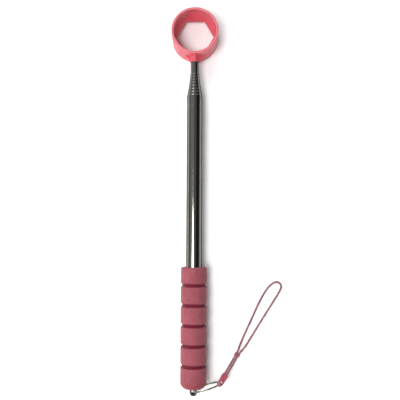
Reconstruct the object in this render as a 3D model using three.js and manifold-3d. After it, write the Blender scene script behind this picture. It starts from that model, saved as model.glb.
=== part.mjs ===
// A telescopic ball pick-up pole: a moulded ring head on nine nested steel tubes, a foam
// grip, and a wrist cord on a split ring. Millimetres, +Z up. The pole lies on a table:
// its axis runs along +Y towards the head, and the ring's opening faces up.
import * as THREE from "three";
import { mergeVertices } from "three/addons/utils/BufferGeometryUtils.js";
import Module from "manifold-3d";

const wasm = await Module();
wasm.setup();

// ---- Driving dimensions. Distances along the pole are from the foot of the grip. ----

// Telescopic pole: one outer diameter per tube, the outermost first.
const TUBE_OD = [15.8, 14.7, 13.6, 12.5, 11.6, 10.8, 10.0, 9.2, 8.4];
const TUBE_WALL = 0.24;
const FIRST_TIP = 295.1; // tip of the outermost tube
const TIP_STEP = 3.2; // each tube stands this much proud of the one around it
const OUTER_FOOT = 3.4;
const INNER_FOOT = 34; // the inner tubes all stand on the base plug
const LAST_TIP = 335.6; // tip of the innermost tube, inside the head's socket
const MOUTH_CLEARANCE = 0.06; // between a rolled mouth and the tube that runs in it
const CRIMP_BACK = 11; // the stop groove lies this far behind the tip
const CRIMP_HALF = 1.3;
const NOSE_LENGTH = 1.5; // the tapered end of each rolled mouth
const TUBE_SIDES = 24;

// Friction sleeves, one on the foot of each inner tube.
const SLEEVE_START = 4; // above the tube's foot
const SLEEVE_END = 32;
const SLEEVE_GAP = 0.03;
const TURNING_GAP = 0.05; // the innermost tube also turns inside its sleeve

// Foam grip.
const GRIP_RADIUS = 13.2;
const GRIP_LENGTH = 119.3;
const GRIP_END_WALL = 3;
const GRIP_BORE = 8.1;
const FIRST_GROOVE = 22.8;
const GROOVE_PITCH = 19.75;
const GROOVES = 5;
const GROOVE_HALF = 1.9;
const GROOVE_FLOOR_HALF = 0.9;
const GROOVE_DEPTH = 1.4;
const GRIP_SIDES = 32;
const GRIP_FOOT_FLAT = 6.8; // radius of the flat at the foot, before the side rounds over
const GRIP_FOOT_ROUND = 6.4;
const GRIP_FOOT_STEPS = 5;
const GRIP_TOP_EDGE = 1.2;
const NECK_CLEARANCE = 0.4;

// The pole lies with its grip on the table.
const AXIS_HEIGHT = GRIP_RADIUS;

// Ring head.
const RING_RADIUS = 24;
const RING_DEPTH = 28;
const RING_WALL = 2.5;
const RING_CENTRE = 358.7;
const THROAT_HALF_FLAT = 17.1; // half the distance across the hexagon's flats
const THROAT_TOP = 10.6;
const THROAT_BOTTOM = 5.7;
const BOWL_FLOOR = 19; // the flats run out into the round wall at this height
const BACK_RECESS_RADIUS = 21.5;
const RING_SIDES = 48;
const BOSS_RADIUS = 5.2;
const BOSS_MOUTH = 329.8;
const SOCKET_RADIUS = 4.35;
const SOCKET_BOTTOM = 336;
const GUSSET_HALF_WIDTH = 12.5;
const GUSSET_THICKNESS = 4;
const SPINE_HALF_HEIGHT = 12.4; // the upright web, where it meets the ring
const SPINE_THICKNESS = 2.4;
const GUSSET_SETBACK = 0.8; // of both webs, from the boss's mouth
const GUSSET_ROOT = 4; // how far both run inside the ring's outer radius

// Screw and insert that hold the head on the innermost tube.
const SCREW_SEAT = 337.8;
const SCREW_HEAD_RADIUS = 2.8;
const SCREW_HEAD_HEIGHT = 1.5;
const SCREW_HEAD_EDGE = 0.4;
const SCREW_POCKET = 3.2;
const SCREW_POCKET_DEPTH = 6; // the pocket runs out into the bowl
const SCREW_SIDES = 16;
const SCREW_RADIUS = 1.4;
const SCREW_TIP = 326;
const SCREW_HOLE = 1.7;
const INSERT_RADIUS = 3.8;
const INSERT_FOOT = 323;
const INSERT_TIP = 335.3;

// Base plug and end knob.
const PLUG_RADIUS = 7.4;
const PLUG_FOOT = 3.6;
const PLUG_TIP = 33.6;
const STUD_RADIUS = 1.9;
const STUD_TIP = 24;
const STUD_HOLE = 2.2;
const NECK_RADIUS = 2.4;
const KNOB_RADIUS = 3.7;
const KNOB_TIP = -7.3;
const KNOB_NOSE = [[1.5, 0.25], [2.8, 1.2], [KNOB_RADIUS, 3.5]]; // radius, height over the tip
const KNOB_WIDEST_TO = -2.2;
const KNOB_SHOULDER = -0.5;
const KNOB_SHOULDER_RADIUS = 2.9;
const EYE_RADIUS = 2;
const EYE_SIDES = 16;
const EYE_AT = -3;

// Split ring: two flat coils, threaded through the knob's eye and leaning off the grip.
const SPLIT_RADIUS = 14.2; // to the middle of the wire
const SPLIT_HALF_WIDTH = 0.5;
const SPLIT_HALF_HEIGHT = 0.75;
const SPLIT_EDGE = 0.25;
const SPLIT_IN_EYE = EYE_AT + 0.3; // where the wire passes through the eye
const SPLIT_HEIGHT = 14.8; // of its centre, so that it stands clear of the table
const SPLIT_LEAN = THREE.MathUtils.degToRad(17.5);
const SPLIT_TILT = THREE.MathUtils.degToRad(5.5); // its top leans in against the grip
const SPLIT_SIDES = 36;

// Strap connector: it hangs on the far side of the split ring and slopes to the table.
const CONNECTOR_LENGTH = 10.7; // from the eye's centre to the end that holds the cord
const CONNECTOR_NEAR_END = 4; // behind the eye's centre
const CONNECTOR_NEAR_HALF = 2.7;
const CONNECTOR_FAR_HALF = 3.2;
const CONNECTOR_THICKNESS = 5;
const CONNECTOR_BEVEL = 0.8;
const CONNECTOR_CORNER = 1;
const CONNECTOR_HEADING = THREE.MathUtils.degToRad(49.1);
const CONNECTOR_SLOPE = THREE.MathUtils.degToRad(45.8);
const CONNECTOR_EYE = 2;

// Wrist cord: one length that leaves the connector, makes the loop and comes back to it.
const CORD_RADIUS = 1;
const CORD_SIDES = 8;
const CORD_STEPS = 76;
const CORD_ROUTE = [
  [31.4, 12.6, 6.7],
  [34.2, 16.5, 4.7],
  [37.4, 21.5, 2.9],
  [40.5, 26.4, 1.9],
  [43.1, 31.0, 1.7],
  [45.3, 35.2, 1.5],
  [47.7, 41.5, 1.1],
  [50.9, 48.8, 1.1],
  [54.3, 56.1, 1.1],
  [58.6, 65.4, 1.1],
  [62.9, 74.8, 1.1],
  [66.9, 83.3, 1.1],
  [70.4, 89.6, 1.1],
  [73.9, 95.2, 1.1],
  [77.8, 99.9, 1.1],
  [81.8, 102.8, 1.1],
  [85.8, 103.6, 1.1],
  [88.8, 101.7, 1.1],
  [89.4, 98.2, 1.1],
  [87.3, 93.5, 1.1],
  [81.9, 84.8, 1.1],
  [75.1, 74.2, 1.1],
  [67.6, 62.4, 1.1],
  [59.8, 50.0, 1.1],
  [52.1, 38.0, 1.2],
  [47.8, 33.1, 1.5],
  [45.2, 29.8, 1.7],
  [42.5, 25.2, 1.9],
  [39.4, 20.2, 2.9],
  [36.1, 15.2, 4.7],
  [33.1, 11.0, 6.7],
];

// Binding that holds the two strands together where the loop begins.
const BINDING_AT = [44.2, 30.4, 1.7];
const BINDING_HEADING = THREE.MathUtils.degToRad(59);
const BINDING_LENGTH = 3.6;
const BINDING_CLEARANCE = 0.3; // round each strand
const BINDING_WALL = 0.35;
const STRAND_OFFSET = 1.17; // half the distance between the strands' centres

// ---- Materials ----

function finish(color, roughness, metalness) {
  return new THREE.MeshStandardMaterial({ color, roughness, metalness });
}

const MATERIALS = {
  moulding: finish(0xd86c78, 0.4, 0),
  chrome: finish(0xb8b6b2, 0.12, 1),
  brass: finish(0xb99a55, 0.4, 1),
  foam: finish(0xb9717a, 0.9, 0),
  plug: finish(0x8b8d90, 0.5, 0),
  screw: finish(0x8f9093, 0.35, 1),
  wire: finish(0x777672, 0.25, 1),
  connector: finish(0xc4667a, 0.35, 0),
  cord: finish(0xc79aa3, 0.85, 0),
};

// ---- Solids ----

function solidOf(geometry) {
  const bare = geometry.clone();
  bare.deleteAttribute("normal");
  bare.deleteAttribute("uv");
  const merged = mergeVertices(bare, 1e-4);
  const vertProperties = new Float32Array(merged.attributes.position.array);
  const triVerts = new Uint32Array(merged.index.array);
  return new wasm.Manifold(new wasm.Mesh({ numProp: 3, vertProperties, triVerts }));
}

function geometryOf(solid) {
  const mesh = solid.getMesh();
  const geometry = new THREE.BufferGeometry();
  const position = new THREE.BufferAttribute(new Float32Array(mesh.vertProperties), 3);
  geometry.setAttribute("position", position);
  geometry.setIndex(new THREE.BufferAttribute(new Uint32Array(mesh.triVerts), 1));
  geometry.computeVertexNormals();
  return geometry;
}

// A profile of [radius, distance along the pole] points, turned about the pole's axis.
function turned(profile, sides) {
  const points = profile.map(([radius, along]) => new THREE.Vector2(radius, along));
  return new THREE.LatheGeometry(points, sides);
}

// A profile that goes round a wall and comes back to its first point.
function turnedWall(profile, sides) {
  return turned([...profile, profile[0]], sides);
}

// A cylinder or hexagon that stands upright from one height to another.
function upright(bottomRadius, topRadius, bottom, top, sides, start = 0) {
  const height = top - bottom;
  const shape = new THREE.CylinderGeometry(
    topRadius, bottomRadius, height, sides, 1, false, start);
  shape.rotateX(Math.PI / 2);
  return shape.translate(0, 0, (bottom + top) / 2);
}

// A cylinder along the pole.
function alongPole(radius, from, to, sides) {
  const shape = new THREE.CylinderGeometry(radius, radius, to - from, sides);
  return shape.translate(0, (from + to) / 2, 0);
}

// ---- Telescopic pole ----

function outerRadius(tube) {
  return TUBE_OD[tube - 1] / 2;
}

function innerRadius(tube) {
  return outerRadius(tube) - TUBE_WALL;
}

function tipOf(tube) {
  return tube === TUBE_OD.length ? LAST_TIP : FIRST_TIP + (tube - 1) * TIP_STEP;
}

// Each tube but the last has a stop groove and a mouth rolled down onto the next tube.
function tubeGeometry(tube) {
  const foot = tube === 1 ? OUTER_FOOT : INNER_FOOT;
  const tip = tipOf(tube);
  const outside = outerRadius(tube);
  const inside = innerRadius(tube);
  if (tube === TUBE_OD.length) {
    const plain = [[inside, foot], [outside, foot], [outside, tip], [inside, tip]];
    return turnedWall(plain, TUBE_SIDES);
  }
  const mouthInside = outerRadius(tube + 1) + MOUTH_CLEARANCE;
  const mouthOutside = mouthInside + TUBE_WALL;
  const crimp = tip - CRIMP_BACK;
  const nose = tip - NOSE_LENGTH;
  return turnedWall([
    [inside, foot],
    [outside, foot],
    [outside, crimp - CRIMP_HALF],
    [mouthOutside, crimp],
    [outside, crimp + CRIMP_HALF],
    [outside, nose],
    [mouthOutside, tip],
    [mouthInside, tip],
    [inside, nose],
    [inside, crimp + CRIMP_HALF],
    [mouthInside, crimp],
    [inside, crimp - CRIMP_HALF],
  ], TUBE_SIDES);
}

function sleeveGeometry(tube) {
  const turns = tube === TUBE_OD.length;
  const inside = outerRadius(tube) + (turns ? TURNING_GAP : SLEEVE_GAP);
  const outside = innerRadius(tube - 1) - SLEEVE_GAP;
  const start = INNER_FOOT + SLEEVE_START;
  const end = INNER_FOOT + SLEEVE_END;
  return turnedWall([[inside, start], [outside, start], [outside, end], [inside, end]],
    TUBE_SIDES);
}

// ---- Foam grip ----

// A quarter of an ellipse, from the flat foot of the grip round to its side.
function roundedFoot() {
  const radial = GRIP_RADIUS - GRIP_FOOT_FLAT;
  return Array.from({ length: GRIP_FOOT_STEPS + 1 }, (_, i) => {
    const angle = (i / GRIP_FOOT_STEPS) * (Math.PI / 2);
    const radius = GRIP_FOOT_FLAT + radial * Math.sin(angle);
    return [radius, GRIP_FOOT_ROUND * (1 - Math.cos(angle))];
  });
}

function grooveProfile(index) {
  const middle = FIRST_GROOVE + index * GROOVE_PITCH;
  const floor = GRIP_RADIUS - GROOVE_DEPTH;
  return [
    [GRIP_RADIUS, middle - GROOVE_HALF],
    [floor, middle - GROOVE_FLOOR_HALF],
    [floor, middle + GROOVE_FLOOR_HALF],
    [GRIP_RADIUS, middle + GROOVE_HALF],
  ];
}

function gripGeometry() {
  const neckHole = NECK_RADIUS + NECK_CLEARANCE;
  const grooves = Array.from({ length: GROOVES }, (_, i) => grooveProfile(i)).flat();
  return turnedWall([
    [neckHole, 0],
    ...roundedFoot(),
    ...grooves,
    [GRIP_RADIUS, GRIP_LENGTH - GRIP_TOP_EDGE],
    [GRIP_RADIUS - GRIP_TOP_EDGE, GRIP_LENGTH],
    [GRIP_BORE, GRIP_LENGTH],
    [GRIP_BORE, GRIP_END_WALL],
    [neckHole, GRIP_END_WALL],
  ], GRIP_SIDES);
}

// ---- Base plug and end knob ----

function plugGeometry() {
  return turnedWall([
    [STUD_HOLE, PLUG_FOOT],
    [PLUG_RADIUS, PLUG_FOOT],
    [PLUG_RADIUS, PLUG_TIP],
    [STUD_HOLE, PLUG_TIP],
  ], TUBE_SIDES);
}

function knobGeometry() {
  const nose = KNOB_NOSE.map(([radius, height]) => [radius, KNOB_TIP + height]);
  const body = turned([
    [0, KNOB_TIP],
    ...nose,
    [KNOB_RADIUS, KNOB_WIDEST_TO],
    [KNOB_SHOULDER_RADIUS, KNOB_SHOULDER],
    [NECK_RADIUS, KNOB_SHOULDER],
    [NECK_RADIUS, GRIP_END_WALL],
    [STUD_RADIUS, GRIP_END_WALL],
    [STUD_RADIUS, STUD_TIP],
    [0, STUD_TIP],
  ], TUBE_SIDES);
  const reach = 2 * KNOB_RADIUS;
  const eye = upright(EYE_RADIUS, EYE_RADIUS, -reach, reach, EYE_SIDES);
  eye.translate(0, EYE_AT, 0);
  return geometryOf(solidOf(body).subtract(solidOf(eye)));
}

// ---- Ring head, in its own frame: origin under the ring's centre ----

function hexagon(halfFlat) {
  return halfFlat / Math.cos(Math.PI / 6);
}

// The bowl is round at its rim and runs in to the hexagon on six sloping flats.
function bowlCut() {
  const slope = (RING_RADIUS - RING_WALL - THROAT_HALF_FLAT) / (BOWL_FLOOR - THROAT_TOP);
  const above = RING_DEPTH + 2;
  const rimHalfFlat = THROAT_HALF_FLAT + slope * (above - THROAT_TOP);
  const start = Math.PI / 2;
  const flats = upright(
    hexagon(THROAT_HALF_FLAT), hexagon(rimHalfFlat), THROAT_TOP, above, 6, start);
  const bore = RING_RADIUS - RING_WALL;
  const round = upright(bore, bore, THROAT_TOP - 1, above, RING_SIDES);
  return solidOf(flats).intersect(solidOf(round));
}

function throatCut() {
  const corner = hexagon(THROAT_HALF_FLAT);
  return solidOf(upright(corner, corner, THROAT_BOTTOM - 1, THROAT_TOP + 0.5, 6, Math.PI / 2));
}

// A flat web that widens from the boss's mouth to the ring's wall.
function web(rootHalfWidth, depth) {
  const outline = new THREE.Shape();
  const mouth = BOSS_MOUTH - RING_CENTRE + GUSSET_SETBACK;
  const root = -RING_RADIUS + GUSSET_ROOT;
  outline.moveTo(-BOSS_RADIUS, mouth);
  outline.lineTo(BOSS_RADIUS, mouth);
  outline.lineTo(rootHalfWidth, root);
  outline.lineTo(-rootHalfWidth, root);
  const plate = new THREE.ExtrudeGeometry(outline, { depth, bevelEnabled: false });
  return plate.translate(0, 0, -depth / 2);
}

function gusset() {
  return web(GUSSET_HALF_WIDTH, GUSSET_THICKNESS).translate(0, 0, AXIS_HEIGHT);
}

function spine() {
  const plate = web(SPINE_HALF_HEIGHT, SPINE_THICKNESS);
  plate.rotateY(Math.PI / 2);
  return plate.translate(0, 0, AXIS_HEIGHT);
}

function headGeometry() {
  const local = (along) => along - RING_CENTRE;
  const insideWall = -RING_RADIUS + RING_WALL;
  const barrel = upright(RING_RADIUS, RING_RADIUS, 0, RING_DEPTH, RING_SIDES);
  const boss = alongPole(BOSS_RADIUS, local(BOSS_MOUTH), insideWall, TUBE_SIDES);
  boss.translate(0, 0, AXIS_HEIGHT);
  const recess = upright(
    BACK_RECESS_RADIUS, BACK_RECESS_RADIUS, -1, THROAT_BOTTOM, RING_SIDES);
  const socket = alongPole(
    SOCKET_RADIUS, local(BOSS_MOUTH) - 1, local(SOCKET_BOTTOM), TUBE_SIDES);
  socket.translate(0, 0, AXIS_HEIGHT);
  const seat = local(SCREW_SEAT);
  const screwHole = alongPole(SCREW_HOLE, local(SOCKET_BOTTOM) - 1, seat + 1, SCREW_SIDES);
  screwHole.translate(0, 0, AXIS_HEIGHT);
  const pocket = alongPole(SCREW_POCKET, seat, seat + SCREW_POCKET_DEPTH, SCREW_SIDES);
  pocket.translate(0, 0, AXIS_HEIGHT);
  return geometryOf(
    solidOf(barrel)
      .add(solidOf(boss))
      .add(solidOf(gusset()))
      .add(solidOf(spine()))
      .subtract(bowlCut())
      .subtract(throatCut())
      .subtract(solidOf(recess))
      .subtract(solidOf(socket))
      .subtract(solidOf(screwHole))
      .subtract(solidOf(pocket)),
  );
}

function screwGeometry() {
  const under = SCREW_SEAT + 0.1;
  const top = under + SCREW_HEAD_HEIGHT;
  return turned([
    [0, SCREW_TIP],
    [SCREW_RADIUS, SCREW_TIP + 1],
    [SCREW_RADIUS, under],
    [SCREW_HEAD_RADIUS, under],
    [SCREW_HEAD_RADIUS - SCREW_HEAD_EDGE, top],
    [0, top],
  ], SCREW_SIDES);
}

function insertGeometry() {
  return turnedWall([
    [SCREW_HOLE, INSERT_FOOT],
    [INSERT_RADIUS, INSERT_FOOT],
    [INSERT_RADIUS, INSERT_TIP],
    [SCREW_HOLE, INSERT_TIP],
  ], TUBE_SIDES);
}

// ---- Split ring and strap ----

function splitRingGeometry() {
  const near = SPLIT_RADIUS - SPLIT_HALF_WIDTH;
  const far = SPLIT_RADIUS + SPLIT_HALF_WIDTH;
  return turnedWall([
    [near, -SPLIT_HALF_HEIGHT + SPLIT_EDGE],
    [near + SPLIT_EDGE, -SPLIT_HALF_HEIGHT],
    [far - SPLIT_EDGE, -SPLIT_HALF_HEIGHT],
    [far, -SPLIT_HALF_HEIGHT + SPLIT_EDGE],
    [far, SPLIT_HALF_HEIGHT - SPLIT_EDGE],
    [far - SPLIT_EDGE, SPLIT_HALF_HEIGHT],
    [near + SPLIT_EDGE, SPLIT_HALF_HEIGHT],
    [near, SPLIT_HALF_HEIGHT - SPLIT_EDGE],
  ], SPLIT_SIDES);
}

function connectorOutline() {
  const near = CONNECTOR_NEAR_HALF - CONNECTOR_BEVEL;
  const far = CONNECTOR_FAR_HALF - CONNECTOR_BEVEL;
  const end = CONNECTOR_LENGTH - CONNECTOR_BEVEL;
  const corner = CONNECTOR_CORNER;
  const outline = new THREE.Shape();
  const start = near - CONNECTOR_NEAR_END + CONNECTOR_BEVEL;
  outline.moveTo(start, -near);
  outline.lineTo(end - corner, -far);
  outline.quadraticCurveTo(end, -far, end, -far + corner);
  outline.lineTo(end, far - corner);
  outline.quadraticCurveTo(end, far, end - corner, far);
  outline.lineTo(start, near);
  outline.absarc(start, 0, near, Math.PI / 2, 1.5 * Math.PI, false);
  return outline;
}

function connectorGeometry() {
  const flat = CONNECTOR_THICKNESS - 2 * CONNECTOR_BEVEL;
  const body = new THREE.ExtrudeGeometry(connectorOutline(), {
    depth: flat,
    bevelThickness: CONNECTOR_BEVEL,
    bevelSize: CONNECTOR_BEVEL,
    bevelSegments: 2,
    curveSegments: 8,
  });
  body.translate(0, 0, -flat / 2);
  body.rotateY(CONNECTOR_SLOPE);
  body.rotateZ(CONNECTOR_HEADING);
  const reach = CONNECTOR_LENGTH;
  const eye = upright(CONNECTOR_EYE, CONNECTOR_EYE, -reach, reach, EYE_SIDES);
  return geometryOf(solidOf(body).subtract(solidOf(eye)));
}

function cordGeometry() {
  const points = CORD_ROUTE.map(([x, y, z]) => new THREE.Vector3(x, y, z));
  const section = new THREE.Shape();
  for (let i = 0; i < CORD_SIDES; i += 1) {
    const angle = (2 * Math.PI * i) / CORD_SIDES;
    const x = CORD_RADIUS * Math.cos(angle);
    const y = CORD_RADIUS * Math.sin(angle);
    if (i === 0) section.moveTo(x, y);
    else section.lineTo(x, y);
  }
  return new THREE.ExtrudeGeometry(section, {
    steps: CORD_STEPS,
    extrudePath: new THREE.CatmullRomCurve3(points, false, "centripetal"),
  });
}

// A slot shape round both strands, at a given distance from their centres.
function roundStrands(radius) {
  const shape = new THREE.Shape();
  const quarter = Math.PI / 2;
  shape.absarc(STRAND_OFFSET, 0, radius, -quarter, quarter, false);
  shape.absarc(-STRAND_OFFSET, 0, radius, quarter, 3 * quarter, false);
  shape.closePath();
  return shape;
}

function bindingGeometry() {
  const inside = CORD_RADIUS + BINDING_CLEARANCE;
  const outline = roundStrands(inside + BINDING_WALL);
  outline.holes.push(roundStrands(inside));
  const band = new THREE.ExtrudeGeometry(outline, {
    depth: BINDING_LENGTH,
    bevelEnabled: false,
    curveSegments: 8,
  });
  band.translate(0, 0, -BINDING_LENGTH / 2);
  band.rotateX(Math.PI / 2);
  return band.rotateZ(BINDING_HEADING - Math.PI / 2);
}

// ---- Assembly ----

function piece(name, geometry, material) {
  const mesh = new THREE.Mesh(geometry, material);
  mesh.name = name;
  return mesh;
}

function poleGroup() {
  const pole = new THREE.Group();
  pole.position.z = AXIS_HEIGHT;
  TUBE_OD.forEach((_, index) => {
    const tube = index + 1;
    pole.add(piece(`pole_tube_${tube}`, tubeGeometry(tube), MATERIALS.chrome));
    if (tube > 1) {
      pole.add(piece(`friction_sleeve_${tube}`, sleeveGeometry(tube), MATERIALS.brass));
    }
  });
  pole.add(piece("foam_grip", gripGeometry(), MATERIALS.foam));
  pole.add(piece("base_plug", plugGeometry(), MATERIALS.plug));
  pole.add(piece("end_knob", knobGeometry(), MATERIALS.chrome));
  pole.add(piece("tip_insert", insertGeometry(), MATERIALS.plug));
  pole.add(piece("head_screw", screwGeometry(), MATERIALS.screw));
  return pole;
}

function strapGroup() {
  const strap = new THREE.Group();
  const swing = new THREE.Group();
  swing.position.set(0, SPLIT_IN_EYE, SPLIT_HEIGHT);
  swing.rotation.set(-SPLIT_TILT, 0, SPLIT_LEAN, "ZXY");
  const ring = piece("split_ring", splitRingGeometry(), MATERIALS.wire);
  ring.position.x = SPLIT_RADIUS;
  swing.add(ring);
  const connector = piece("strap_connector", connectorGeometry(), MATERIALS.connector);
  connector.position.set(
    2 * SPLIT_RADIUS * Math.cos(SPLIT_LEAN),
    SPLIT_IN_EYE + 2 * SPLIT_RADIUS * Math.sin(SPLIT_LEAN),
    SPLIT_HEIGHT,
  );
  const binding = piece("cord_binding", bindingGeometry(), MATERIALS.cord);
  binding.position.set(...BINDING_AT);
  strap.add(swing, connector, binding, piece("wrist_cord", cordGeometry(), MATERIALS.cord));
  return strap;
}

const head = piece("ring_head", headGeometry(), MATERIALS.moulding);
head.position.y = RING_CENTRE;

// The origin is on the table, half way along the pole.
const assembly = new THREE.Group();
assembly.add(poleGroup(), head, strapGroup());
assembly.position.y = -(RING_CENTRE + RING_RADIUS + KNOB_TIP) / 2;

const pickUpPole = new THREE.Group();
pickUpPole.add(assembly);

export default pickUpPole;
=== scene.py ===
import math

import bmesh
import bpy
from mathutils import Matrix, Vector, noise


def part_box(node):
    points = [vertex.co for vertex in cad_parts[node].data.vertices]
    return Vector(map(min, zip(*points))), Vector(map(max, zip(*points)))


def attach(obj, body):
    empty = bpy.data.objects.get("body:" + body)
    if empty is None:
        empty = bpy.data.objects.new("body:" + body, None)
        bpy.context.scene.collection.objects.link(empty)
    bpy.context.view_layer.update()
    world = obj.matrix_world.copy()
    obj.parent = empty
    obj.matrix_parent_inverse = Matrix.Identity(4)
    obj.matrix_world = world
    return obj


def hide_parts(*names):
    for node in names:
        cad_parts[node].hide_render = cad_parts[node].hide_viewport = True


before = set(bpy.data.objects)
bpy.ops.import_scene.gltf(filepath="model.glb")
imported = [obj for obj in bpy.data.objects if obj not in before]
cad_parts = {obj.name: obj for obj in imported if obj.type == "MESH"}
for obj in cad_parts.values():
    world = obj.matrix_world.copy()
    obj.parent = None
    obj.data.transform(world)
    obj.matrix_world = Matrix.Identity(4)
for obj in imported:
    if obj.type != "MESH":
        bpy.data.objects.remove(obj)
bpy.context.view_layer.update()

MM = 0.001
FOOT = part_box("foam_grip")[0][1] / MM
AXIS = 13.2
TURN = 2 * math.pi


def place(x, y, z):
    """A point given in millimetres from the pole's foot, in metres in the row frame."""
    return Vector((x * MM, (y + FOOT) * MM, z * MM))


# ---------------------------------------------------------------- camera

camera = bpy.data.objects.new("camera", bpy.data.cameras.new("camera"))
bpy.context.scene.collection.objects.link(camera)
camera.data.lens = 47.07
camera.data.clip_start = 0.01
camera.location = place(6.0, 149.6, 543.7)
camera.rotation_euler = (math.radians(4.05), 0, math.radians(0.24))
bpy.context.scene.camera = camera
bpy.context.scene.view_settings.view_transform = "Standard"

# ---------------------------------------------------------------- mesh helpers


def make(name, points, faces, sharp=38, tidy=False):
    """A mesh object from points in metres, shaded smooth but for edges sharper than that."""
    mesh = bpy.data.meshes.new(name)
    mesh.from_pydata([tuple(p) for p in points], [], faces)
    if tidy:
        work = bmesh.new()
        work.from_mesh(mesh)
        bmesh.ops.remove_doubles(work, verts=work.verts, dist=2e-7)
        bmesh.ops.recalc_face_normals(work, faces=work.faces)
        work.to_mesh(mesh)
        work.free()
    smooth(mesh, sharp)
    piece = bpy.data.objects.new(name, mesh)
    bpy.context.scene.collection.objects.link(piece)
    return piece


def smooth(mesh, sharp=38):
    mesh.polygons.foreach_set("use_smooth", [True] * len(mesh.polygons))
    mesh.set_sharp_from_angle(angle=math.radians(sharp))


def grid_faces(rows, columns, rows_close, columns_close=True):
    """Quads over a grid of points, row after row."""
    faces = []
    for i in range(rows if rows_close else rows - 1):
        for j in range(columns if columns_close else columns - 1):
            a, b = i * columns, (i + 1) % rows * columns
            k = (j + 1) % columns
            faces.append((a + j, a + k, b + k, b + j))
    return faces


def end_caps(rows, columns):
    """The two flat faces that close a grid of points at its first and last row."""
    last = (rows - 1) * columns
    return [tuple(range(columns)), tuple(range(last, last + columns))]


def lathe(name, profile, sides, closed=True, change=None, sharp=38):
    """A profile of (radius, distance along the pole) turned about the pole's axis."""
    points = []
    for radius, along in profile:
        for j in range(sides):
            angle = TURN * j / sides
            r, y = change(radius, along, angle) if change else (radius, along)
            points.append(place(r * math.cos(angle), y, AXIS + r * math.sin(angle)))
    return make(name, points, grid_faces(len(profile), sides, closed), sharp, tidy=True)


def cut(piece, other, how="DIFFERENCE", sharp=38):
    """Cuts another mesh out of a piece, or adds it, and removes the other."""
    step = piece.modifiers.new(how, "BOOLEAN")
    step.operation = how
    step.solver = "EXACT"
    step.object = other
    ready = piece.evaluated_get(bpy.context.evaluated_depsgraph_get())
    mesh = bpy.data.meshes.new_from_object(ready)
    piece.modifiers.clear()
    piece.data = mesh
    bpy.data.objects.remove(other)
    smooth(mesh, sharp)
    return piece


def arc(r0, y0, r1, y1, steps, first_radial):
    """A quarter of an ellipse from one profile point to another."""
    out = []
    for i in range(1, steps + 1):
        a = math.pi / 2 * i / steps
        s, c = math.sin(a), 1 - math.cos(a)
        u, v = (s, c) if first_radial else (c, s)
        out.append((r0 + (r1 - r0) * u, y0 + (y1 - y0) * v))
    return out


def ease(x):
    x = min(1.0, max(0.0, x))
    return x * x * (3 - 2 * x)


def sweep(path, section, scale=None):
    """Points of a section carried along a path, without twisting. path is in metres."""
    tangents = []
    for i in range(len(path)):
        a, b = path[max(i - 1, 0)], path[min(i + 1, len(path) - 1)]
        tangents.append((b - a).normalized())
    side = tangents[0].cross(Vector((0, 0, 1))).normalized()
    points = []
    for i, (middle, ahead) in enumerate(zip(path, tangents)):
        side = (side - ahead * side.dot(ahead)).normalized()
        other = side.cross(ahead)
        for j, (a, b) in enumerate(section):
            s = scale(i, j) if scale else 1.0
            points.append(middle + (side * a + other * b) * s)
    return points


def swept(name, path, section, scale=None, sharp=50):
    """A closed tube with flat ends along a path."""
    count = len(section)
    points = sweep(path, section, scale)
    faces = grid_faces(len(path), count, False) + end_caps(len(path), count)
    return make(name, points, faces, sharp, tidy=True)


def ring_of(radius, sides):
    turns = (TURN * j / sides for j in range(sides))
    return [(radius * math.cos(a), radius * math.sin(a)) for a in turns]


# ---------------------------------------------------------------- wrist cord

CORD_ROUTE = [
    (31.4, 12.6, 6.7), (34.2, 16.5, 4.7), (37.4, 21.5, 2.9), (40.5, 26.4, 1.9),
    (43.1, 31.0, 1.7), (45.3, 35.2, 1.5), (47.7, 41.5, 1.1), (50.9, 48.8, 1.1),
    (54.3, 56.1, 1.1), (58.6, 65.4, 1.1), (62.9, 74.8, 1.1), (66.9, 83.3, 1.1),
    (70.4, 89.6, 1.1), (73.9, 95.2, 1.1), (77.8, 99.9, 1.1), (81.8, 102.8, 1.1),
    (85.8, 103.6, 1.1), (88.8, 101.7, 1.1), (89.4, 98.2, 1.1), (87.3, 93.5, 1.1),
    (81.9, 84.8, 1.1), (75.1, 74.2, 1.1), (67.6, 62.4, 1.1), (59.8, 50.0, 1.1),
    (52.1, 38.0, 1.2), (47.8, 33.1, 1.5), (45.2, 29.8, 1.7), (42.5, 25.2, 1.9),
    (39.4, 20.2, 2.9), (36.1, 15.2, 4.7), (33.1, 11.0, 6.7),
]
CORD_RADIUS = 1.0
STRANDS = 6
STRAND_PITCH = 1.7


def curve_through(points, step):
    """Points about a step apart on a centripetal Catmull-Rom curve, in metres."""
    points = [Vector(p) for p in points]
    ends = [2 * points[0] - points[1], *points, 2 * points[-1] - points[-2]]
    out = [points[0]]
    for a, b, c, d in zip(ends, ends[1:], ends[2:], ends[3:]):
        t0 = 0.0
        t1 = t0 + (b - a).length ** 0.5
        t2 = t1 + (c - b).length ** 0.5
        t3 = t2 + (d - c).length ** 0.5
        count = max(2, round((c - b).length / step))
        for i in range(1, count + 1):
            t = t1 + (t2 - t1) * i / count
            ab = a * ((t1 - t) / (t1 - t0)) + b * ((t - t0) / (t1 - t0))
            bc = b * ((t2 - t) / (t2 - t1)) + c * ((t - t1) / (t2 - t1))
            cd = c * ((t3 - t) / (t3 - t2)) + d * ((t - t2) / (t3 - t2))
            abc = ab * ((t2 - t) / (t2 - t0)) + bc * ((t - t0) / (t2 - t0))
            bcd = bc * ((t3 - t) / (t3 - t1)) + cd * ((t - t1) / (t3 - t1))
            out.append(abc * ((t2 - t) / (t2 - t1)) + bcd * ((t - t1) / (t2 - t1)))
    return [place(*p) for p in out]


cord_path = curve_through(CORD_ROUTE, STRAND_PITCH / 5)
along = [0.0]
for before, after in zip(cord_path, cord_path[1:]):
    along.append(along[-1] + (after - before).length / MM)
CORD_SIDES = STRANDS * 4


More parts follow.
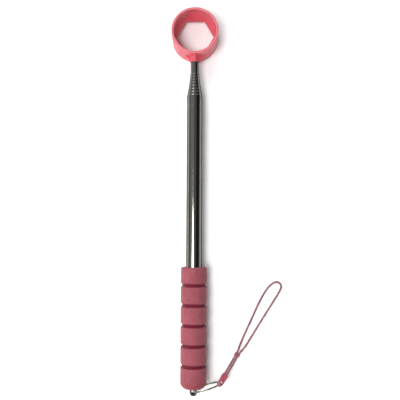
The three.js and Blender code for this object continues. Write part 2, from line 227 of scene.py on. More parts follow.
def braid(i, j):
    """The braid's relief: diamonds where one strand crosses over the next."""
    around, down = STRANDS * j / CORD_SIDES, along[i] / STRAND_PITCH
    a, b = around + down, around - down
    hump = abs(math.sin(math.pi * a) * math.sin(math.pi * b)) ** 0.7
    return 0.86 + 0.14 * hump


cord = swept(
    "braided_wrist_cord", cord_path, ring_of(CORD_RADIUS * MM, CORD_SIDES), braid, sharp=60
)

# Whipping thread that holds the two strands together where the loop begins.
BINDING_AT = (44.2, 30.4, 1.7)
BINDING_HEADING = math.radians(59)
BINDING_LENGTH = 3.6
STRAND_OFFSET = 1.17
THREAD = 0.27


def binding_path(turns=7.0, steps=30):
    """A thread wound round both strands, turn beside turn."""
    ahead = Vector((math.cos(BINDING_HEADING), math.sin(BINDING_HEADING), 0))
    across = Vector((ahead.y, -ahead.x, 0))
    rise = Vector((0, 0, 1))
    radius = CORD_RADIUS + THREAD + 0.04
    straight, bend = 2 * STRAND_OFFSET, math.pi * radius
    loop = 2 * (straight + bend)
    out = []
    for i in range(int(turns * steps) + 1):
        t = i / steps
        s = (t % 1.0) * loop
        if s < straight:
            x, z = -STRAND_OFFSET + s, radius
        elif s < straight + bend:
            a = (s - straight) / radius
            x, z = STRAND_OFFSET + radius * math.sin(a), radius * math.cos(a)
        elif s < 2 * straight + bend:
            x, z = STRAND_OFFSET - (s - straight - bend), -radius
        else:
            a = (s - 2 * straight - bend) / radius
            x, z = -STRAND_OFFSET - radius * math.sin(a), -radius * math.cos(a)
        y = (t / turns - 0.5) * (BINDING_LENGTH - 2 * THREAD)
        at = Vector(BINDING_AT) + across * x + rise * z + ahead * y
        out.append(place(*at))
    return out


binding = swept("whipping_thread", binding_path(), ring_of(THREAD * MM, 8), sharp=60)

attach(cord, "wrist_strap")
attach(binding, "wrist_strap")
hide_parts("wrist_cord")
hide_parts("cord_binding")

# ---------------------------------------------------------------- node helpers


def srgb(red, green, blue):
    """A linear colour from its 0-255 values on a screen."""

    def one(value):
        value /= 255
        return value / 12.92 if value <= 0.04045 else ((value + 0.055) / 1.055) ** 2.4

    return (one(red), one(green), one(blue), 1.0)


class Finish:
    """A procedural material: a Principled shader and the nodes that feed it."""

    def __init__(self, name, **values):
        self.material = bpy.data.materials.new(name)
        self.material.use_nodes = True
        self.nodes = self.material.node_tree.nodes
        self.links = self.material.node_tree.links
        self.shader = self.nodes["Principled BSDF"]
        for socket, value in values.items():
            self.shader.inputs[socket.replace("_", " ")].default_value = value
        self.where = self.nodes.new("ShaderNodeTexCoord").outputs["Object"]

    def put(self, kind, inputs=(), **settings):
        node = self.nodes.new("ShaderNode" + kind)
        for key, value in settings.items():
            setattr(node, key, value)
        for key, value in dict(inputs).items():
            if isinstance(value, bpy.types.NodeSocket):
                self.links.new(value, node.inputs[key])
            else:
                node.inputs[key].default_value = value
        return node

    def math(self, what, a, b=0.0, c=0.0, clamp=False):
        node = self.put("Math", {0: a, 1: b, 2: c}, operation=what, use_clamp=clamp)
        return node.outputs[0]

    def stretch(self, x, y, z):
        return self.put("Mapping", {"Vector": self.where, "Scale": (x, y, z)}).outputs[0]

    def noise(self, scale, detail=3.0, rough=0.5, where=None):
        inputs = {
            "Vector": where or self.where,
            "Scale": scale,
            "Detail": detail,
            "Roughness": rough,
        }
        return self.put("TexNoise", inputs).outputs["Fac"]

    def cells(self, scale, feature="F1", output="Distance", where=None, **settings):
        inputs = {"Vector": where or self.where, "Scale": scale}
        return self.put("TexVoronoi", inputs, feature=feature, **settings).outputs[output]

    def remap(self, value, low, high, to_low=0.0, to_high=1.0, smoothly=True):
        node = self.put(
            "MapRange",
            {"Value": value, "From Min": low, "From Max": high,
             "To Min": to_low, "To Max": to_high},
            interpolation_type="SMOOTHSTEP" if smoothly else "LINEAR",
        )
        return node.outputs["Result"]

    def mix(self, share, first, second, how="MIX"):
        node = self.put("Mix", data_type="RGBA", blend_type=how)
        colours = [s for s in node.inputs if s.type == "RGBA"]
        for socket, value in ((node.inputs[0], share), (colours[0], first),
                              (colours[1], second)):
            if isinstance(value, bpy.types.NodeSocket):
                self.links.new(value, socket)
            else:
                socket.default_value = value
        return next(s for s in node.outputs if s.type == "RGBA")

    def bump(self, height, distance, strength=1.0, after=None):
        inputs = {"Height": height, "Distance": distance, "Strength": strength}
        if after:
            inputs["Normal"] = after
        return self.put("Bump", inputs).outputs["Normal"]

    def set(self, **sockets):
        for socket, value in sockets.items():
            self.links.new(value, self.shader.inputs[socket.replace("_", " ")])
        return self.material


def coordinate(finish, axis):
    return finish.put("SeparateXYZ", {0: finish.where}).outputs[axis]


# ---------------------------------------------------------------- materials


def moulded_pink():
    f = Finish("moulded_pink", Metallic=0.0, Specular_IOR_Level=0.45)
    mottle = f.remap(f.noise(70, 3), 0.3, 0.7)
    base = f.mix(mottle, srgb(194, 72, 86), srgb(206, 84, 97))
    height = coordinate(f, 2)
    # The ring's top rim band is painted lighter: scattered scuffs, plus a painted highlight
    # over the whole band.
    rim = f.remap(height, 0.0268, 0.0280)
    scuffs = f.remap(f.noise(900, 4, 0.7), 0.56, 0.72)
    rim_scuffs_and_highlight = f.math("MULTIPLY", rim, f.math("MULTIPLY_ADD", scuffs, 0.35, 0.25))
    base = f.mix(rim_scuffs_and_highlight, base, srgb(200, 150, 156))
    grain = f.noise(2600, 2)
    flow = f.noise(1.0, 2, 0.5, f.stretch(220, 220, 1400))
    normal = f.bump(grain, 0.00003, 0.35)
    normal = f.bump(flow, 0.00004, 0.3, normal)
    rough = f.remap(f.noise(160, 4, 0.6), 0.3, 0.7, 0.34, 0.5)
    return f.set(Base_Color=base, Roughness=rough, Normal=normal)


def chrome(name="polished_chrome", shade=1.0, dull=0.0):
    """Chrome kept dark: the clean metal reflects about twice as much as this."""
    f = Finish(name, Metallic=1.0, Specular_Tint=(0.05, 0.05, 0.05, 1.0))
    smudge = f.remap(f.noise(1.0, 4, 0.6, f.stretch(240, 60, 240)), 0.35, 0.75)
    bright = srgb(134 * shade, 132 * shade, 128 * shade)
    base = f.mix(smudge, bright, srgb(124 * shade, 121 * shade, 116 * shade))
    lines = f.noise(1.0, 3, 0.7, f.stretch(5200, 26, 5200))
    scratches = f.remap(lines, 0.62, 0.7)
    rough = f.math("MULTIPLY_ADD", smudge, 0.07, 0.1 + dull)
    rough = f.math("MULTIPLY_ADD", scratches, 0.14, rough)
    normal = f.bump(lines, 0.000004, 0.5)
    return f.set(Base_Color=base, Roughness=rough, Normal=normal)


GROOVE_FIRST, GROOVE_PITCH, GROOVES = 22.8, 19.75, 5


def pink_foam():
    f = Finish(
        "pink_foam", Metallic=0.0, Specular_IOR_Level=0.2, Sheen_Weight=0.22,
        Sheen_Roughness=0.4, Sheen_Tint=(1.0, 0.86, 0.84, 1.0),
    )
    y = coordinate(f, 1)
    # Mask of the five grooves, which are painted darker: partly the denser skin cut into the
    # foam there, partly painted shade in the recess.
    first = (FOOT + GROOVE_FIRST) * MM
    pitch = GROOVE_PITCH * MM
    past = f.math("SUBTRACT", y, first - pitch / 2)
    cycle = f.math("WRAP", past, pitch, 0.0)
    off = f.math("ABSOLUTE", f.math("SUBTRACT", cycle, pitch / 2))
    groove = f.remap(off, 0.0016, 0.0021, 1.0, 0.0)
    last = first + (GROOVES - 0.5) * pitch
    inside = f.math("MULTIPLY", f.math("GREATER_THAN", y, first - pitch / 2),
                    f.math("LESS_THAN", y, last))
    groove = f.math("MULTIPLY", groove, inside)
    cloud = f.remap(f.noise(110, 4, 0.6), 0.3, 0.7)
    base = f.mix(cloud, srgb(140, 72, 82), srgb(150, 79, 88))
    pores = f.cells(1500, "SMOOTH_F1")
    small = f.cells(3300)
    pits = f.remap(pores, 0.16, 0.46)
    fine = f.remap(small, 0.1, 0.5)
    tone = f.math("MULTIPLY", pits, fine)
    # The pits of the foam's cells are painted darker: painted shade in the pores.
    base = f.mix(f.math("MULTIPLY_ADD", tone, -0.3, 0.3), base, srgb(96, 46, 52))
    cells = f.remap(f.noise(560, 2, 0.5), 0.46, 0.56)
    foot = f.remap(y, (FOOT + 1.0) * MM, (FOOT + 10.0) * MM, 1.0, 0.0)
    speck = f.math("MULTIPLY", foot, cells)
    base = f.mix(f.math("MULTIPLY", speck, 0.8), base, srgb(128, 38, 32))
    # Painted shade in the grooves, with the foam's denser skin there.
    base = f.mix(groove, base, srgb(104, 22, 42))
    height = f.math("MULTIPLY_ADD", fine, 0.35, pits)
    normal = f.bump(height, 0.00016, 0.75)
    normal = f.bump(f.noise(420, 3), 0.00025, 0.35, normal)
    rough = f.remap(tone, 0.0, 1.0, 0.98, 0.82, False)
    return f.set(Base_Color=base, Roughness=rough, Normal=normal)


def cord_yarn(name, tone, second):
    f = Finish(
        name, Metallic=0.0, Roughness=0.82, Specular_IOR_Level=0.25,
        Sheen_Weight=0.12, Sheen_Roughness=0.35, Sheen_Tint=(1.0, 0.9, 0.9, 1.0),
    )
    strands = f.remap(f.cells(1.0, output="Color", where=f.stretch(900, 900, 900)), 0, 1)
    cloud = f.remap(f.noise(140, 4, 0.6), 0.35, 0.65)
    base = f.mix(cloud, srgb(*tone), srgb(*second))
    base = f.mix(f.math("MULTIPLY", strands, 0.25), base, srgb(112, 56, 68))
    fibres = f.noise(5200, 3, 0.7)
    normal = f.bump(fibres, 0.00005, 0.7)
    return f.set(Base_Color=base, Normal=normal)


def connector_plastic():
    f = Finish("connector_plastic", Metallic=0.0, Specular_IOR_Level=0.5)
    cloud = f.remap(f.noise(180, 3), 0.3, 0.7)
    base = f.mix(cloud, srgb(164, 64, 82), srgb(174, 78, 92))
    scuff = f.remap(f.noise(1400, 4, 0.7), 0.58, 0.7)
    base = f.mix(f.math("MULTIPLY", scuff, 0.3), base, srgb(178, 112, 120))
    normal = f.bump(f.noise(3000, 2), 0.00002, 0.4)
    rough = f.remap(f.noise(500, 3), 0.3, 0.7, 0.24, 0.4)
    return f.set(Base_Color=base, Roughness=rough, Normal=normal)


def grey_plastic():
    f = Finish("grey_plastic", Metallic=0.0)
    cloud = f.noise(220, 3)
    base = f.mix(cloud, srgb(132, 134, 137), srgb(150, 151, 153))
    normal = f.bump(f.noise(2400, 2), 0.00003, 0.4)
    rough = f.remap(f.noise(300, 3), 0.3, 0.7, 0.42, 0.6)
    return f.set(Base_Color=base, Roughness=rough, Normal=normal)


def drawn_metal(name, light, dark, low, high, stretch=(3000, 3000, 3000)):
    """Wire, brass or screw steel: fine drawing lines and uneven tarnish."""
    f = Finish(name, Metallic=1.0)
    tarnish = f.remap(f.noise(500, 4, 0.65), 0.35, 0.7)
    base = f.mix(tarnish, srgb(*light), srgb(*dark))
    lines = f.noise(1.0, 2, 0.6, f.stretch(*stretch))
    normal = f.bump(lines, 0.00001, 0.5)
    rough = f.remap(tarnish, 0.0, 1.0, low, high, False)
    return f.set(Base_Color=base, Roughness=rough, Normal=normal)


PINK = moulded_pink()
CHROME = chrome()
# The knob wears a darker, duller copy of the tubes' chrome: painted shade on the same metal.
SHADED_KNOB_CHROME = chrome("shaded_knob_chrome", 0.8, 0.02)
FOAM = pink_foam()
CORD = cord_yarn("cord_yarn", (126, 78, 86), (146, 98, 104))
THREAD_YARN = cord_yarn("thread_yarn", (146, 80, 94), (154, 96, 106))
CLIP = connector_plastic()
GREY = grey_plastic()
BRASS = drawn_metal("spring_brass", (196, 166, 104), (160, 128, 74), 0.28, 0.45)
WIRE = drawn_metal("ring_wire", (150, 149, 145), (108, 107, 103), 0.2, 0.34)
STEEL = drawn_metal("screw_steel", (160, 160, 158), (128, 127, 125), 0.25, 0.4)


def wear(piece, material, body, slot, *nodes):
    """Gives a piece its material and body, and hides the nodes it stands for. The slot is not
    used.
    """
    piece.data.materials.clear()
    piece.data.materials.append(material)
    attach(piece, body)
    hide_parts(*nodes)
    return piece


for piece, material in ((cord, CORD), (binding, THREAD_YARN)):
    piece.data.materials.append(material)

# ---------------------------------------------------------------- telescopic tubes

TUBE_OD = [15.8, 14.7, 13.6, 12.5, 11.6, 10.8, 10.0, 9.2, 8.4]
WALL = 0.24
FIRST_TIP, TIP_STEP, LAST_TIP = 295.1, 3.2, 335.6
OUTER_FOOT, INNER_FOOT = 3.4, 34.0
MOUTH_CLEARANCE = 0.06
CRIMP_BACK, CRIMP_HALF = 11.0, 1.3
NOSE = 1.5


def tube_profile(number):
    """The outside from foot to tip, and back down the inside."""
    outside = TUBE_OD[number - 1] / 2
    inside = outside - WALL
    foot = OUTER_FOOT if number == 1 else INNER_FOOT
    if number == len(TUBE_OD):
        tip = LAST_TIP
        return [
            (inside, foot), (outside - 0.06, foot), (outside, foot + 0.06),
            (outside, tip - 0.06), (outside - 0.06, tip), (inside, tip),
        ]
    tip = FIRST_TIP + (number - 1) * TIP_STEP
    bore = TUBE_OD[number] / 2 + MOUTH_CLEARANCE
    lip = bore + WALL
    depth = outside - lip
    crimp = tip - CRIMP_BACK

    def groove(radius, order):
        rows = [t / 8 for t in range(-8, 9)]
        return [
            (radius - 0.35 * depth * (0.5 + 0.5 * math.cos(math.pi * t)) ** 0.8,
             crimp + CRIMP_HALF * t)
            for t in (rows if order > 0 else reversed(rows))
        ]

    def nose(radius, end, order):
        rows = [i / 8 for i in range(9)]
        return [
            (end + (radius - end) * math.cos(math.pi / 2 * t),
             tip - NOSE + (NOSE - 0.1) * math.sin(math.pi / 2 * t))
            for t in (rows if order > 0 else reversed(rows))
        ]

    edge = [
        (bore + WALL / 2 + WALL / 2 * math.cos(a), tip - 0.1 + 0.1 * math.sin(a))
        for a in (math.pi * i / 6 for i in range(1, 6))
    ]
    return [
        (inside, foot), (outside - 0.05, foot), (outside, foot + 0.05),
        *groove(outside, 1), *nose(outside, lip, 1), *edge,
        *nose(inside, bore, -1), *groove(inside, -1),
    ]


for number in range(1, len(TUBE_OD) + 1):
    body = "handle" if number == 1 else f"section_{number}"
    body = "head" if number == len(TUBE_OD) else body
    wear(lathe(f"chromed_tube_{number}", tube_profile(number), 96), CHROME, body,
         "chromed_steel", f"pole_tube_{number}")

# ---------------------------------------------------------------- foam grip

GRIP_RADIUS, GRIP_LENGTH = 13.2, 119.3
GRIP_BORE, GRIP_END_WALL, NECK_HOLE = 8.1, 3.0, 2.8
GROOVE_HALF, GROOVE_FLOOR_HALF, GROOVE_DEPTH = 1.9, 0.9, 1.4


def grip_radius(y):
    """Radius of the grip's side: pillow-edged bands between five grooves."""
    radius = GRIP_RADIUS
    for k in range(GROOVES):
        off = abs(y - GROOVE_FIRST - k * GROOVE_PITCH)
        past = (off - GROOVE_FLOOR_HALF) / (GROOVE_HALF - GROOVE_FLOOR_HALF)
        radius -= GROOVE_DEPTH * (1 - ease(past))
        radius -= 0.16 * (1 - ease((off - GROOVE_HALF) / 1.6))
    return radius


def grip_profile():
    out = [(NECK_HOLE, 0.35), (NECK_HOLE + 0.4, 0.0)]
    out += [(r, 0.0) for r in (4.0, 5.0, 6.0, 6.8)]
    out += arc(6.8, 0.0, GRIP_RADIUS, 6.4, 22, True)
    y = 6.8
    while y < GRIP_LENGTH - 1.3:
        out.append((grip_radius(y), y))
        near = min(abs(y - GROOVE_FIRST - k * GROOVE_PITCH) for k in range(GROOVES))
        y += 0.2 if near < 2.2 else 0.6
    out += [(GRIP_RADIUS, GRIP_LENGTH - 1.2)]
    out += arc(GRIP_RADIUS, GRIP_LENGTH - 1.2, GRIP_RADIUS - 1.2, GRIP_LENGTH, 6, False)
    out += [(r, GRIP_LENGTH) for r in (11.2, 10.2, 9.2, 8.5)]
    out += [(GRIP_BORE, GRIP_LENGTH - 0.3), (GRIP_BORE, GRIP_END_WALL)]
    out += [(NECK_HOLE, GRIP_END_WALL)]
    return out


def foam_skin(radius, y, angle):
    """Foam is never quite even: gentle waves and the open cells of its skin."""
    if radius < 6.0:
        return radius, y
    at = Vector((radius * math.cos(angle), y, radius * math.sin(angle)))
    wave = noise.noise(at * 0.22) * 0.1
    cell = noise.noise(at * 1.9) * 0.055
    open_end = 1 - ease((y - 2) / 9)
    cell += noise.noise(at * 1.1 + Vector((9, 4, 7))) * 0.2 * open_end
    return radius + wave + cell - 0.12, y + (cell if y < 1 or y > 119 else 0)


grip = lathe("foam_grip_skin", grip_profile(), 200, change=foam_skin, sharp=80)
wear(grip, FOAM, "handle", "pink_foam", "foam_grip")

# ---------------------------------------------------------------- end knob

KNOB_TIP, KNOB_RADIUS, NECK_RADIUS = -7.3, 3.7, 2.4
STUD_RADIUS, STUD_TIP = 1.9, 24.0
EYE_AT, EYE_RADIUS = -3.0, 2.0


def knob_profile():
    out = [(0.0, KNOB_TIP), (0.8, KNOB_TIP), (1.5, KNOB_TIP + 0.08)]
    out += arc(1.5, KNOB_TIP + 0.08, KNOB_RADIUS, -3.0, 14, True)
    out += [(KNOB_RADIUS, -2.6), (KNOB_RADIUS, -2.2)]
    out += arc(KNOB_RADIUS, -2.2, 3.0, -0.62, 10, False)
    out += [(2.9, -0.5), (NECK_RADIUS + 0.12, -0.5), (NECK_RADIUS, -0.38)]
    out += [(NECK_RADIUS, GRIP_END_WALL), (STUD_RADIUS, GRIP_END_WALL)]
    y = GRIP_END_WALL + 0.6
    while y < STUD_TIP - 0.8:
        out += [(STUD_RADIUS, y), (STUD_RADIUS - 0.3, y + 0.35)]
        y += 0.7
    out += [(STUD_RADIUS - 0.4, STUD_TIP), (0.0, STUD_TIP)]
    return out


def upright_cutter(x, y, z, radius, half, flare):
    """A vertical round hole whose mouths are eased outwards."""
    rows = [(-half, 1.0)]
    rows += [(half * (t / 12), (abs(t) / 12) ** 6) for t in range(-11, 12)]
    rows += [(half, 1.0)]
    points, sides = [], 48
    for height, share in rows:
        r = radius + flare * share
        for j in range(sides):
            a = TURN * j / sides
            points.append(place(x + r * math.cos(a), y + r * math.sin(a), z + height))
    faces = grid_faces(len(rows), sides, False) + end_caps(len(rows), sides)
    return make("cutter", points, faces, tidy=True)


knob = lathe("chrome_knob", knob_profile(), 72, closed=False)
cut(knob, upright_cutter(0, EYE_AT, AXIS, EYE_RADIUS, 4.2, 0.7))
wear(knob, SHADED_KNOB_CHROME, "handle", "chromed_steel", "end_knob")

# ---------------------------------------------------------------- split ring

SPLIT_RADIUS = 14.2
SPLIT_IN_EYE, SPLIT_HEIGHT = -2.7, 14.8
SPLIT_HALF_WIDTH, SPLIT_HALF_HEIGHT = 0.5, 0.75
SPLIT_LEAN, SPLIT_TILT = math.radians(17.5), math.radians(5.5)
COIL_TURNS = 1.96
WIRE_SIDES = 16


def split_ring_path(steps=300):
    """Two coils side by side, with the crossing step where the two ends lie."""
    out_dir = Vector((math.cos(SPLIT_LEAN), math.sin(SPLIT_LEAN), 0))
    level = Vector((-out_dir.y, out_dir.x, 0))
    up = level * math.sin(SPLIT_TILT) + Vector((0, 0, math.cos(SPLIT_TILT)))
    axis = up.cross(out_dir)
    centre = Vector((0, SPLIT_IN_EYE, SPLIT_HEIGHT)) + out_dir * SPLIT_RADIUS
    out = []
    for i in range(steps + 1):
        t = COIL_TURNS * i / steps
        angle = TURN * t + math.radians(118)
        side = 2 * ease((t - COIL_TURNS / 2 + 0.05) / 0.1) - 1
        offset = side * SPLIT_HALF_HEIGHT / 2
        ring = out_dir * math.cos(angle) + up * math.sin(angle)
        out.append((centre + ring * SPLIT_RADIUS + axis * offset, axis))
    return out


def split_ring():
    half_w, half_h = SPLIT_HALF_WIDTH, SPLIT_HALF_HEIGHT / 2 - 0.01
    section = []
    for j in range(WIRE_SIDES):
        a = TURN * j / WIRE_SIDES
        c, s = math.cos(a), math.sin(a)
        section.append((
            half_w * math.copysign(abs(c) ** 0.55, c),
            half_h * math.copysign(abs(s) ** 0.55, s),
        ))
    rows, points = split_ring_path(), []
    for i, (at, axis) in enumerate(rows):
        a, b = rows[max(i - 1, 0)][0], rows[min(i + 1, len(rows) - 1)][0]
        ahead = (b - a).normalized()
        outward = ahead.cross(axis).normalized()
        level = outward.cross(ahead)
        end = min(i, len(rows) - 1 - i)
        taper = 0.55 + 0.45 * ease(end / 5)
        for x, y in section:
            points.append(place(*(at + outward * x * taper + level * y * taper)))
    faces = grid_faces(len(rows), WIRE_SIDES, False) + end_caps(len(rows), WIRE_SIDES)
    return make("coiled_split_ring", points, faces, sharp=50, tidy=True)


wear(split_ring(), WIRE, "split_ring", "wire_steel", "split_ring")

# ---------------------------------------------------------------- strap connector

CLIP_LENGTH, CLIP_END, CLIP_NEAR, CLIP_FAR, CLIP_HALF = 10.7, 4.0, 2.7, 3.2, 2.5
CLIP_HEADING, CLIP_SLOPE, CLIP_EYE = math.radians(49.1), math.radians(45.8), 1.7
CLIP_AT = Vector((
    2 * SPLIT_RADIUS * math.cos(SPLIT_LEAN),
    SPLIT_IN_EYE + 2 * SPLIT_RADIUS * math.sin(SPLIT_LEAN),
    SPLIT_HEIGHT,
))


def connector():
    """A moulded clip: rounded eye end, a waist line, a parting line and a flat panel."""
    turn = Matrix.Rotation(CLIP_HEADING, 3, "Z") @ Matrix.Rotation(CLIP_SLOPE, 3, "Y")
    start = CLIP_NEAR - CLIP_END
    round_near = [start - CLIP_NEAR * math.cos(math.pi / 2 * i / 14) for i in range(14)]
    body = [start + 0.4 * i for i in range(28)]
    round_far = [CLIP_LENGTH - 1.0 + math.sin(math.pi / 2 * i / 8) for i in range(9)]
    rows = round_near + body + [r for r in round_far if r > body[-1] + 0.05]
    sides, points = 64, []
    for x in rows:
        wide = CLIP_NEAR + (CLIP_FAR - CLIP_NEAR) * max(0.0, x - start) / CLIP_LENGTH
        thick = CLIP_HALF
        if x < start:
            share = math.sqrt(max(0.0, 1 - ((x - start) / CLIP_NEAR) ** 2))
            wide *= share
            thick -= 0.9 * (1 - share) ** 2
        over = max(0.0, x - CLIP_LENGTH + 1.0)
        if over > 0:
            ending = 1 - math.sqrt(max(0.0, 1 - over * over))
            wide -= 0.9 * ending
            thick -= 0.9 * ending
        collar = math.exp(-(((x - 3.3) / 0.35) ** 2))
        for j in range(sides):
            a = TURN * j / sides
            c, s = math.cos(a), math.sin(a)
            y = wide * math.copysign(abs(c) ** 0.42, c)
            z = thick * math.copysign(abs(s) ** 0.42, s)
            part = math.exp(-((z / 0.22) ** 2)) * 0.1 if abs(c) > 0.5 else 0.0
            y -= math.copysign(part + 0.1 * collar, c) if abs(c) > 0.5 else 0.0
            panel = ease((x - 4.4) / 0.5) * ease((CLIP_LENGTH - 1.4 - x) / 0.5)
            panel *= ease((wide - 0.75 - abs(y)) / 0.35)
            z -= math.copysign(0.22 * panel + 0.1 * collar, s)
            points.append(place(*(CLIP_AT + turn @ Vector((x, y, z)))))
    faces = grid_faces(len(rows), sides, False) + end_caps(len(rows), sides)
    clip = make("moulded_connector", points, faces, tidy=True)
    return cut(clip, upright_cutter(*CLIP_AT, CLIP_EYE, 6.5, 0.3))


clip = wear(connector(), CLIP, "wrist_strap", "connector_plastic", "strap_connector")

# ---------------------------------------------------------------- ring head

RING_RADIUS, RING_DEPTH, RING_BORE, RING_CENTRE = 24.0, 28.0, 21.5, 358.7
THROAT_HALF_FLAT, THROAT_TOP, THROAT_BOTTOM, BOWL_FLOOR = 17.1, 10.6, 5.7, 19.0
RECESS_RADIUS = 21.5
BOSS_RADIUS, BOSS_MOUTH = 5.2, 329.8
SOCKET_RADIUS, SOCKET_BOTTOM = 4.35, 336.0
SCREW_HOLE, SCREW_SEAT, SCREW_POCKET = 1.7, 337.8, 3.2
GUSSET_HALF, GUSSET_THICKNESS = 12.5, 4.0
SPINE_HALF, SPINE_THICKNESS = 12.4, 2.4
POINTS_PER_HEX_SIDE = 56


def hexagon_angles():
    """Angles round the ring, closer together at the hexagon's corners."""
    out = []
    for side in range(6):
        for i in range(POINTS_PER_HEX_SIDE):
            t = i / POINTS_PER_HEX_SIDE
            bent = t - 0.11 * math.sin(TURN * t)
            out.append(math.radians(60) * (side + bent))
    return out


def to_flat(angle, half):
    """Distance from the axis to a hexagon of that half width, its corners on the X axis."""
    off = (angle % math.radians(60)) - math.radians(30)
    return half / math.cos(off)


def soft_min(a, b, k=0.22):
    h = max(k - abs(a - b), 0.0) / k
    return min(a, b) - h * h * k / 4


def bowl_radius(angle, z):
    slope = (RING_BORE - THROAT_HALF_FLAT) / (BOWL_FLOOR - THROAT_TOP)
    flat = THROAT_HALF_FLAT + slope * (z - THROAT_TOP)
    return soft_min(RING_BORE, to_flat(angle, flat))


def ring_section(angle):
    """(radius, height) round the wall's section at that angle."""
    outer = RING_RADIUS
    out = [(outer - 0.5, 0.0)] + arc(outer - 0.5, 0.0, outer, 0.5, 4, True)
    out += [(outer - 0.02 * (z % 3 == 0), z) for z in (4, 8, 12, 16, 20, 24, 26)]
    out += [(outer, RING_DEPTH - 0.7)]
    out += arc(outer, RING_DEPTH - 0.7, outer - 0.7, RING_DEPTH, 5, False)
    out += [(RING_BORE + 0.5, RING_DEPTH)]
    out += arc(RING_BORE + 0.5, RING_DEPTH, RING_BORE, RING_DEPTH - 0.5, 4, True)
    z = RING_DEPTH - 1.0
    while z > THROAT_TOP + 0.45:
        out.append((bowl_radius(angle, z), z))
        z -= 0.45
    throat = to_flat(angle, THROAT_HALF_FLAT)
    out += [(throat + 0.22, THROAT_TOP + 0.3), (throat + 0.06, THROAT_TOP + 0.08)]
    out += [(throat, THROAT_TOP - 0.2), (throat, THROAT_BOTTOM + 0.3)]
    out += [(throat + 0.09, THROAT_BOTTOM + 0.09), (throat + 0.3, THROAT_BOTTOM)]
    out += [(RECESS_RADIUS - 0.3, THROAT_BOTTOM), (RECESS_RADIUS, THROAT_BOTTOM - 0.3)]
    out += [(RECESS_RADIUS, 0.4), (RECESS_RADIUS + 0.4, 0.0)]
    return out


def on_ring(x, y, z):
    return place(x, y + RING_CENTRE, z)


def ring_wall():
    sections = []
    for angle in hexagon_angles():
        sections.append([
            on_ring(r * math.cos(angle), r * math.sin(angle), z)
            for r, z in ring_section(angle)
        ])
    count = len(sections[0])
    points = [section[i] for i in range(count) for section in sections]
    return make("moulded_ring_head", points, grid_faces(count, len(sections), True),
                sharp=30, tidy=True)


def web(name, half_width, thickness, upright, depth):
    """A flat web from the boss into the wall by that depth, its edges rounded."""
    mouth, root = BOSS_MOUTH + 0.8, RING_CENTRE - RING_RADIUS + depth
    outline = [
        (-4.9, mouth), (4.9, mouth), (5.5, mouth + 0.5), (half_width, root),
        (-half_width, root), (-5.5, mouth + 0.5),
    ]
    half, ease_by = thickness / 2, 0.5
    rows = [(-half, ease_by), (-half + ease_by * 0.3, ease_by * 0.3), (-half + ease_by, 0.0),
            (half - ease_by, 0.0), (half - ease_by * 0.3, ease_by * 0.3), (half, ease_by)]
    points = []
    for z, inset in rows:
        for x, y in outline:
            move = inset * (1 if x < 0 else -1)
            lift = inset if y < mouth + 0.3 else 0.0
            across, rise = (z, x + move) if upright else (x + move, z)
            points.append(place(across, y + lift, AXIS + rise))
    faces = grid_faces(len(rows), len(outline), False) + end_caps(len(rows), len(outline))
    return make(name, points, faces, tidy=True)


def boss():
    wall = RING_CENTRE - RING_RADIUS
    profile = [(0.0, BOSS_MOUTH), (4.7, BOSS_MOUTH)]
    profile += arc(4.7, BOSS_MOUTH, BOSS_RADIUS, BOSS_MOUTH + 0.5, 4, True)
    profile += [(BOSS_RADIUS, wall - 1.6)]
    profile += arc(BOSS_RADIUS, wall - 1.6, BOSS_RADIUS + 1.5, wall + 0.3, 6, False)
    profile += [(BOSS_RADIUS + 1.5, wall + 1.2), (0.0, wall + 1.2)]
    return lathe("boss", profile, 72, closed=False)


def socket_cutter():
    profile = [(0.0, BOSS_MOUTH - 2), (SOCKET_RADIUS + 0.4, BOSS_MOUTH - 2)]
    profile += [(SOCKET_RADIUS + 0.4, BOSS_MOUTH), (SOCKET_RADIUS, BOSS_MOUTH + 0.4)]
    profile += [(SOCKET_RADIUS, SOCKET_BOTTOM), (SCREW_HOLE, SOCKET_BOTTOM)]
    profile += [(SCREW_HOLE, SCREW_SEAT), (SCREW_POCKET, SCREW_SEAT)]
    profile += [(SCREW_POCKET, SCREW_SEAT + 7), (0.0, SCREW_SEAT + 7)]
    return lathe("cutter", profile, 64, closed=False)


head = ring_wall()
cut(head, boss(), "UNION", 30)
cut(head, web("gusset", GUSSET_HALF, GUSSET_THICKNESS, False, 4.0), "UNION", 30)
cut(head, web("spine", SPINE_HALF, SPINE_THICKNESS, True, 1.4), "UNION", 30)
cut(head, socket_cutter(), "DIFFERENCE", 30)
wear(head, PINK, "head", "pink_plastic", "ring_head")

# The screw that holds the head: a pan head with a cross recess.
SCREW_TIP, SCREW_RADIUS, SCREW_HEAD, SCREW_HEIGHT = 326.0, 1.4, 2.8, 1.5


def screw():
    under = SCREW_SEAT + 0.1
    top = under + SCREW_HEIGHT
    profile = [(0.0, SCREW_TIP), (0.5, SCREW_TIP)]
    y = SCREW_TIP + 0.7
    while y < under - 1.4:
        profile += [(SCREW_RADIUS, y), (SCREW_RADIUS - 0.28, y + 0.45)]
        y += 0.9
    profile += [(SCREW_RADIUS, under - 0.5), (SCREW_RADIUS, under), (SCREW_HEAD, under)]
    profile += [(SCREW_HEAD, under + 0.5)]
    profile += arc(SCREW_HEAD, under + 0.5, 1.2, top, 8, False)
    profile += [(0.0, top)]
    piece = lathe("cross_head_screw", profile, 48, closed=False)
    for wide, tall in ((1.6, 0.3), (0.3, 1.6)):
        corners = [(-wide, -tall), (wide, -tall), (wide, tall), (-wide, tall)]
        points = [
            place(x * share, top + up, AXIS + z * share)
            for up, share in ((0.5, 1.1), (-1.0, 0.35))
            for x, z in corners
        ]
        blade = make("cutter", points, grid_faces(2, 4, False) + [(0, 1, 2, 3), (4, 5, 6, 7)],
                     tidy=True)
        cut(piece, blade)
    return piece


wear(screw(), STEEL, "head", "screw_steel", "head_screw")

# ---------------------------------------------------------------- parts kept from the CAD

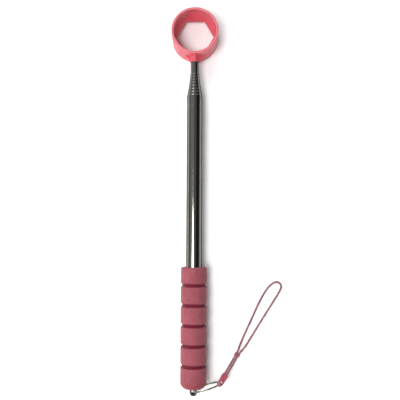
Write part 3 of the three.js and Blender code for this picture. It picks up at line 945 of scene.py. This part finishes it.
for name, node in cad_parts.items():
    material = None
    if name.startswith("friction_sleeve"):
        material = BRASS
    if name in ("base_plug", "tip_insert"):
        material = GREY
    if material:
        node.data.materials.clear()
        node.data.materials.append(material)

# ---------------------------------------------------------------- floor and light


def floor_paint():
    f = Finish("floor_paint", Metallic=0.0, Roughness=0.75)
    base = f.mix(f.noise(6, 2), srgb(247, 247, 247), srgb(250, 250, 250))
    return f.set(Base_Color=base)


# The floor lies a hair below the object, clear of the faces that rest on it.
DROP = -0.00005
corners = [(-4, -4, DROP), (4, -4, DROP), (4, 4, DROP), (-4, 4, DROP)]
floor = make("floor", corners, [(0, 1, 2, 3)])
floor.data.materials.append(floor_paint())


def softbox(name, at, size, watts):
    light = bpy.data.lights.new(name, "AREA")
    light.shape = "DISK"
    light.size = size
    light.energy = watts
    lamp = bpy.data.objects.new(name, light)
    bpy.context.scene.collection.objects.link(lamp)
    lamp.location = at
    lamp.rotation_euler = (-Vector(at)).to_track_quat("-Z", "Y").to_euler()


softbox("overhead", (-0.36, -0.2, 1.2), 0.6, 11.5)
softbox("key", (-1.15, -0.6, 0.9), 0.8, 8)
softbox("back", (-0.55, 1.05, 0.95), 0.8, 7)

world = bpy.data.worlds.new("studio")
bpy.context.scene.world = world
world.use_nodes = True
tree = world.node_tree
spot = tree.nodes.new("ShaderNodeTexCoord").outputs["Generated"]
parts = tree.nodes.new("ShaderNodeSeparateXYZ")
tree.links.new(spot, parts.inputs[0])
across = tree.nodes.new("ShaderNodeMapRange")
across.inputs["From Min"].default_value = -1.0
tree.links.new(parts.outputs["X"], across.inputs["Value"])

# How bright the surroundings are by direction, from left to right. They are banded, and the
# chrome shows the bands as streaks along the tubes.
ROOM = [
    (-1.0, 0.02), (-0.96, 0.02), (-0.88, 0.40), (-0.80, 0.50), (-0.68, 0.52),
    (-0.49, 0.44), (-0.24, 0.50), (-0.15, 0.46), (-0.05, 0.16), (0.12, 0.18),
    (0.29, 0.30), (0.40, 0.18), (0.53, 0.05), (0.75, 0.02), (1.0, 0.06),
]
ramp = tree.nodes.new("ShaderNodeValToRGB")
stops = ramp.color_ramp.elements
while len(stops) < len(ROOM):
    stops.new(0.5)
for stop, (side, _) in zip(stops, ROOM):
    stop.position = (side + 1) / 2
for stop, (_, strength) in zip(stops, ROOM):
    stop.color = (strength, strength, strength, 1.0)
tree.links.new(across.outputs["Result"], ramp.inputs["Fac"])


def reaches(axis, start, end):
    """How far that direction has gone from one end of a range to the other, from 0 to 1."""
    node = tree.nodes.new("ShaderNodeMapRange")
    node.inputs["From Min"].default_value = start
    node.inputs["From Max"].default_value = end
    tree.links.new(parts.outputs[axis], node.inputs["Value"])
    return node.outputs["Result"]


def larger(a, b):
    node = tree.nodes.new("ShaderNodeMath")
    node.operation = "MAXIMUM"
    tree.links.new(a, node.inputs[0])
    tree.links.new(b, node.inputs[1])
    return node


# The room's two ends, beyond the foot and the head of the pole, and its horizon are plain
# and bright.
ends = larger(reaches("Y", -0.25, -0.5), reaches("Y", 0.42, 0.6))
ends = larger(ends.outputs[0], reaches("Z", 0.2, 0.12))
room = tree.nodes.new("ShaderNodeMix")
room.data_type = "RGBA"
tree.links.new(ends.outputs[0], room.inputs["Factor"])
tree.links.new(ramp.outputs["Color"], room.inputs[6])
room.inputs[7].default_value = (0.7, 0.7, 0.7, 1.0)
tree.links.new(room.outputs[2], tree.nodes["Background"].inputs["Color"])

# ---------------------------------------------------------------- finish

bpy.context.view_layer.update()
